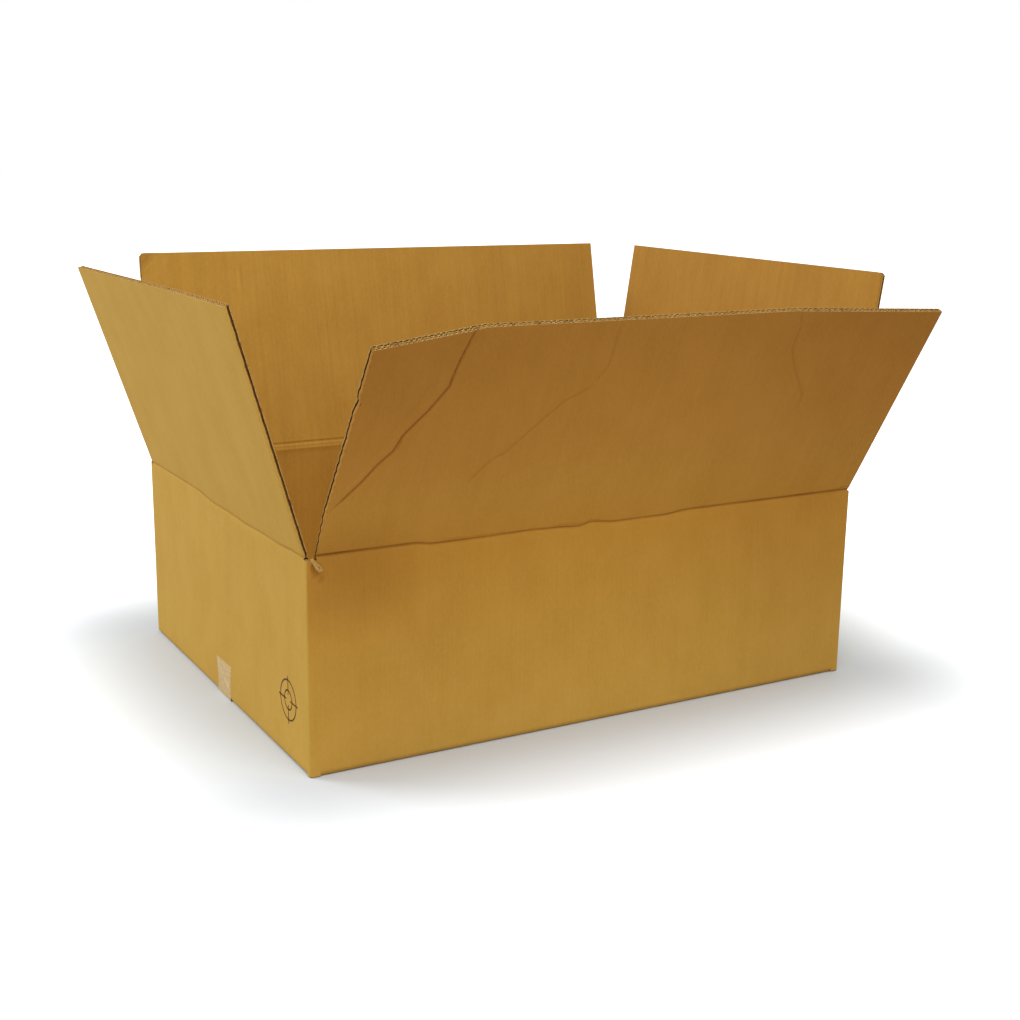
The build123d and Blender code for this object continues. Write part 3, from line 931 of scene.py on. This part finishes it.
# The print on the left wall: its middle, then its rings and broken cross in millimetres
MARK_PLACE = (66 * MM - HALF_W, 75 * MM)
RING_RADII = (26.0, 13.0)
RING_LINE = 2.2
CROSS_ENDS = (6.5, 15.0, 30.0)
CROSS_HALF_LINE = 1.1
INK_GAP = 0.01 * MM
INK_THICKNESS = 0.04 * MM


def ink_patch(builder, a, b):
    """A patch of ink on the left wall: a runs from the print's middle to the front, b up."""
    points = np.stack([0 * a - HALF_L - INK_GAP, MARK_PLACE[0] - a, MARK_PLACE[1] + b], -1)
    normals = np.zeros_like(points)
    normals[..., 0] = -1.0
    film(builder, points, np.stack([a, b], -1), normals, INK_THICKNESS)


def printed_mark():
    """A plain round register mark on the left wall: two rings and a broken cross."""
    builder = Builder()
    angle = np.linspace(0, 2 * math.pi, 97)[:, None]
    for radius in RING_RADII:
        r = np.array([[radius - RING_LINE, radius]]) * MM
        ink_patch(builder, r * np.cos(angle), r * np.sin(angle))
    along = np.array(CROSS_ENDS)[:, None] * MM
    width = np.array([[-CROSS_HALF_LINE, CROSS_HALF_LINE]]) * MM
    for quarter in range(4):
        c, s = math.cos(quarter * math.pi / 2), math.sin(quarter * math.pi / 2)
        ink_patch(builder, along * c - width * s, along * s + width * c)
    piece = builder.build("register_mark", (ink_paint(),), weld=0.002 * MM)
    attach(piece, "carton")
    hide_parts("printed_mark")


# The torn scrap: where it starts, and how far it runs along and down, in millimetres
SCRAP_START = (6.2, 264.5)
SCRAP_RUN = (10.5, 15.0)
SCRAP_THICKNESS = 0.45 * MM


def torn_tab(material):
    """A scrap of liner torn loose at the near corner, curling off the front wall."""
    t = np.linspace(0, 1, 15)[:, None]
    across = np.linspace(-1, 1, 9)[None, :]
    half = (1.3 + 1.6 * smooth(t * 1.6) + 0.3 * np.sin(t * 11)) * MM
    x = -HALF_L + (SCRAP_START[0] + SCRAP_RUN[0] * t ** 1.2) * MM + half * across * 0.8
    z = (SCRAP_START[1] - SCRAP_RUN[1] * t) * MM + half * across * 0.6
    lift = (0.25 + 3.4 * smooth(t * 1.1) - 0.9 * t * across ** 2) * MM
    points = np.stack([x, -HALF_W - lift, z], -1)
    normals = np.zeros_like(points)
    normals[..., 1] = -1.0
    builder = Builder()
    film(builder, points, np.stack([x, z], -1), normals, SCRAP_THICKNESS)
    piece = builder.build("torn_liner_tab", (material,), weld=0.01 * MM)
    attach(piece, "carton")


# Camera: the photograph's viewpoint, solved from the carton's corners and folds
LENS = 52.244
CAMERA_PLACE = Vector((-0.98976, -1.80103, 0.71488))
CAMERA_FORWARD = Vector((0.48002, 0.84437, -0.23795)).normalized()
CAMERA_ROLL = math.radians(0.797)

# Lamps: where they stand and point, how wide they are, their watts and their colour
KEY_LAMP = ((-2.2, 1.6, 2.6), (0, 0, 0.2), 1.5, 47, (1, 1, 1))
FRONT_LAMP = ((-0.5, -1.5, 3.2), (0, 0, 0.25), 2.0, 49, (1.0, 0.97, 0.92))
WORLD_COLOUR = (1.0, 0.96, 0.88, 1)
WORLD_LEVEL = 0.70

# Floor: half its side, the colour it throws back, the colour that is seen, and how far out it turns white
FLOOR_HALF = 30.0
FLOOR_BOUNCE = (0.56, 0.55, 0.53, 1)
FLOOR_SEEN = (0.64, 0.70, 0.775, 1)
FLOOR_FADE = 0.42


def add_camera():
    """The camera at the photograph's viewpoint, with its slight roll."""
    flat_right = CAMERA_FORWARD.cross(Vector((0, 0, 1))).normalized()
    flat_up = flat_right.cross(CAMERA_FORWARD)
    right = flat_right * math.cos(CAMERA_ROLL) + flat_up * math.sin(CAMERA_ROLL)
    up = flat_up * math.cos(CAMERA_ROLL) - flat_right * math.sin(CAMERA_ROLL)
    data = bpy.data.cameras.new("camera")
    data.lens = LENS
    data.clip_end = 60
    camera = bpy.data.objects.new("camera", data)
    camera.matrix_world = Matrix((right, up, -CAMERA_FORWARD)).transposed().to_4x4()
    camera.location = CAMERA_PLACE
    bpy.context.scene.collection.objects.link(camera)
    bpy.context.scene.camera = camera


def add_light(name, place, target, size, power, colour):
    """A round soft lamp that points at the target."""
    data = bpy.data.lights.new(name, "AREA")
    data.shape = "DISK"
    data.size = size
    data.energy = power
    data.color = colour
    light = bpy.data.objects.new(name, data)
    light.location = place
    light.rotation_euler = (Vector(target) - Vector(place)).to_track_quat("-Z", "Y").to_euler()
    bpy.context.scene.collection.objects.link(light)


def add_world():
    """Soft light from all sides, and plain white where the background is seen."""
    scene = bpy.context.scene
    scene.view_settings.view_transform = "Standard"
    world = bpy.data.worlds.new("studio")
    scene.world = world
    world.use_nodes = True
    nodes = Nodes(world.node_tree)
    background = world.node_tree.nodes["Background"]
    background.inputs["Color"].default_value = WORLD_COLOUR
    background.inputs["Strength"].default_value = WORLD_LEVEL
    nodes.shown(background, nodes.new("ShaderNodeBackground", {"Color": (1, 1, 1, 1)}), "World Output")


def floor_glow(nodes):
    """A glow that rises to white with the distance from the carton's sides."""
    position = nodes.new("ShaderNodeNewGeometry").outputs["Position"]
    past = nodes.vector("SUBTRACT", nodes.vector("ABSOLUTE", position), (HALF_L, HALF_W, 0))
    outside = nodes.vector("MAXIMUM", past, (0, 0, 0))
    reach = nodes.new("ShaderNodeVectorMath", {0: outside}, operation="LENGTH").outputs["Value"]
    far = nodes.new("ShaderNodeMapRange", {"Value": reach, "From Max": FLOOR_FADE},
                    interpolation_type="SMOOTHSTEP")
    return nodes.new("ShaderNodeEmission", {"Strength": far.outputs["Result"]})


def floor_paper():
    """The floor's paper: one colour for the light it throws back, another with a glow where seen."""
    material, nodes, main = shader("floor_paper", 0.9, 0.1)
    main.inputs["Base Color"].default_value = FLOOR_BOUNCE
    seen = nodes.new("ShaderNodeBsdfDiffuse", {"Color": FLOOR_SEEN})
    both = nodes.new("ShaderNodeAddShader", {0: seen.outputs[0], 1: floor_glow(nodes).outputs[0]})
    nodes.shown(main, both, "Material Output")
    return material


def add_floor():
    """A pale floor, seen as white away from the carton, with a soft shadow next to it."""
    mesh = bpy.data.meshes.new("floor")
    corners = [(-FLOOR_HALF, -FLOOR_HALF, 0), (FLOOR_HALF, -FLOOR_HALF, 0),
               (FLOOR_HALF, FLOOR_HALF, 0), (-FLOOR_HALF, FLOOR_HALF, 0)]
    mesh.from_pydata(corners, [], [(0, 1, 2, 3)])
    mesh.materials.append(floor_paper())
    floor = bpy.data.objects.new("floor", mesh)
    bpy.context.scene.collection.objects.link(floor)


# How far each sheet's ends stand in from the corners, in millimetres, and how far its fold turns outwards
FRONT_ENDS = (13, 4.0)
RIGHT_ENDS = (7.7, 8.2)
BACK_ENDS = (11.0, 13.0)
LEFT_ENDS = (8.5, 9.3)
BASE_MAJOR_ENDS = (13, 13)
BASE_MINOR_ENDS = (9, 9)
FRONT_LEAN = 26.5
RIGHT_LEAN = 8.3
BACK_LEAN = 12.0
LEFT_LEAN = 16.3
BASE_LEAN = 90

# Half the walls' lengths in millimetres, for places measured from a wall's corner
HALF_MAJOR = HALF_L / MM
HALF_MINOR = 304

# How the folds wander up and down, and how wide the front fold's line of painted shade is, in millimetres
FRONT_WAVE = profile([-388, -269, -238, -174, -108, -74, -39, -22, 14, 87, 125, 400],
                     [2, 2, -2, -2, -1, -2, -4, 0, -4, -4, 0, -0.5])
LEFT_WAVE = profile([-304, -231, -152, -81, -16, 47, 107, 163, 216, 267, 304],
                    [-1, 1, 2, 2, -3, -2, -3, -1, -1, 2, 2])
BACK_WAVE = 4.0
FRONT_LINE = profile([-388, -300, -200, 100, 300, 360, 400], [1.7, 1.5, 1.1, 1.1, 1.6, 2.0, 1.2])

# Bent corners: where the bend meets the free edge and the end, then its angle, side and rounding
FRONT_NEAR_BEND = corner_bend((155 - HALF_MAJOR, 298), (0 - HALF_MAJOR, 42), 12.9, -1, 14)
FRONT_FAR_BEND = corner_bend((575 - HALF_MAJOR, 298), (780 - HALF_MAJOR, 16), 5.6, 1, 20)
BACK_FAR_BEND = corner_bend((350, 298), (387, 262), -9.0, 1, 4)
LEFT_FAR_BEND = corner_bend((HALF_MINOR - 185, 298), (HALF_MINOR - 590, 14), 2.1, -1, 24)

# The painted highlight and shade lines down the back flap's inner face, and the painted highlight and shade
# at its bent corner
PRESSED_U = 238 * MM
PRESSED_SLANT = 0.08
PRESSED_WIDTH = 1.6 * MM
PRESSED_GAP = 4 * MM
EAR_LINE = ((352, 300), (374, 281), (381, 274))
EAR_WIDTH = 2.2 * MM
BESIDE_U = 377 * MM
SHADED_FROM = 660 * MM


def front_crease(depth, width, ridge, dark, *points):
    """A crease through points measured from the wall's left corner and the fold."""
    return wrinkle([(u - HALF_MAJOR, v) for u, v in points], depth, width, ridge, dark)


# The front flap's creases: depth, width and ridge in millimetres, how dark the shade painted along each is,
# and its line
FRONT_CREASES = (
    front_crease(1.4, 1.9, 0.5, 1.0, (141, 308), (136, 275), (131, 247), (128, 224), (110, 194), (97, 178),
                 (86, 163), (78, 142), (64, 127), (47, 102), (29, 80), (14, 64)),
    front_crease(0.4, 1.8, 0.15, 0.35, (317, 212), (282, 192), (264, 173), (241, 147), (223, 126),
                 (207, 117), (191, 98), (180, 82)),
    front_crease(0.4, 1.6, 0.15, 0.3, (326, 290), (327, 238), (316, 215)),
    front_crease(0.4, 1.6, 0.2, 0.35, (582, 299), (590, 272), (590, 243), (607, 214), (638, 171),
                 (636, 142)),
    front_crease(0.5, 1.5, 0.2, 0.5, (86, 163), (83, 147), (78, 142)),
    front_crease(0.15, 0.9, 0.1, 0.4, (168, 4.5), (230, 4.0), (262, 3.6)),
    front_crease(0.15, 0.9, 0.1, 0.45, (318, 4.0), (352, 4.8), (396, 3.8)),
    front_crease(0.2, 1.2, 0.1, 0.6, (765, 1), (778, 4.5), (797, 7)),
)
# Where the front flap has fine mesh steps for its creases
FRONT_FINE_ZONES = ((13, 345), (560, 660))


def corner_drop(height, start, side):
    """How far a flap's free edge drops at a corner, from a place along it. In millimetres."""
    return lambda u: height * np.clip((side * u - start * MM) / (6 * MM), 0, 1) ** 2


def front_edge(v):
    """How far the front flap's near end stands in: it runs out upwards, with two nicks in it."""
    slant = -2.2 * np.clip(v / FLAP_DEPTH, 0, 1)
    nick = 3.2 * bump((v - 226 * MM) / (6 * MM)) + 1.2 * bump((v - 176 * MM) / (5 * MM))
    rough = 0.35 * np.sin(v * 410) + 0.3 * np.sin(v * 951 + 1)
    return slant + nick + rough


def pressed_line_light_and_shade(u, v):
    """Painted light and shade on the back flap's inner face: a painted highlight and a painted shade line
    side by side, and a painted highlight and painted shade at its bent corner.
    """
    place = PRESSED_U + PRESSED_SLANT * (FLAP_DEPTH - v)
    pale = -0.22 * bell(u - place, PRESSED_WIDTH)
    dark = 0.16 * bell(u - place + PRESSED_GAP, PRESSED_WIDTH)
    down = (pale + dark) * smooth((v - 170 * MM) / (60 * MM))
    ear = -0.25 * bell(line_distance(u, v, EAR_LINE)[0], EAR_WIDTH)
    beside = 0.22 * bell(u - BESIDE_U, EAR_WIDTH) * smooth((v - 225 * MM) / (30 * MM))
    shaded = 0.25 * smooth((u + v - SHADED_FROM) / (9 * MM))
    return down + ear + beside + shaded


def ramp(v):
    """The inner bottom flaps rise over the outer ones next to their fold."""
    return BOARD * smooth((v - 6 * MM) / (9 * MM))


add_camera()
add_world()
add_floor()
add_light("key", *KEY_LAMP)
add_light("front", *FRONT_LAMP)

KRAFT_OUTER = kraft("kraft_outer", OUTER_KRAFT, FINE_PITCH, streak=0.3, seed=0.0, relief=0.2 * MM,
                    tinted_and_shaded=True)
KRAFT_INNER = kraft("kraft_inner", INNER_KRAFT, COARSE_PITCH, streak=0.8, seed=3.7, relief=0.4 * MM,
                    tinted_and_shaded=False)
CUT_PAPER = cut_paper("cut_liner", CUT_COLOURS, (900, 900, 1))
FLUTE_PAPER = cut_paper("flute_paper", FLUTE_COLOURS, (600, 160, 1))
# The groove's paper is the fluted paper's colours darker, as painted shade
SHADED_GROOVE_PAPER = cut_paper("flute_groove_shaded", GROOVE_SHADE_COLOURS, (200, 60, 1))
# In the order of the slots
PAPERS = (KRAFT_OUTER, KRAFT_INNER, CUT_PAPER, FLUTE_PAPER, SHADED_GROOVE_PAPER)

# The fold_line values set how dark the painted shade along each fold is
front = Sheet(0, True, FRONT_ENDS, FRONT_LEAN, bead=0.8, wave=FRONT_WAVE, creases=FRONT_CREASES,
              fold_line=1.0, fold_width=FRONT_LINE, edge_in=front_edge,
              bends=(FRONT_NEAR_BEND, FRONT_FAR_BEND))
right = Sheet(90, False, RIGHT_ENDS, RIGHT_LEAN, score=0.45, bead=0.8, groove=RIGHT_GROOVE,
              edge_drop=corner_drop(3.5, 290, -1))
back = Sheet(180, True, BACK_ENDS, BACK_LEAN, score=0.4, bead=1.0, wave=lambda u: BACK_WAVE,
             edge_drop=corner_drop(5, 381, 1), line=pressed_line_light_and_shade, bends=(BACK_FAR_BEND,))
left = Sheet(-90, False, LEFT_ENDS, LEFT_LEAN, score_at=0.35, wave=LEFT_WAVE, fold_line=0.6,
             deep=LEFT_EDGE_DEPTH, bends=(LEFT_FAR_BEND,))
BASES = {
    "base_front": Sheet(0, True, BASE_MAJOR_ENDS, BASE_LEAN, top=False),
    "base_right": Sheet(90, False, BASE_MINOR_ENDS, BASE_LEAN, top=False, lift=ramp),
    "base_back": Sheet(180, True, BASE_MAJOR_ENDS, BASE_LEAN, top=False),
    "base_left": Sheet(-90, False, BASE_MINOR_ENDS, BASE_LEAN, top=False, lift=ramp),
}

walls((front, right, back, left), tuple(BASES.values()))
for name, sheet in BASES.items():
    bottom_flap(name, sheet)
upper_flap("front_flap", front, FRONT_FINE_ZONES)
upper_flap("right_flap", right)
upper_flap("back_flap", back)
upper_flap("left_flap", left)
sealing_tape()
printed_mark()
torn_tab(CUT_PAPER)
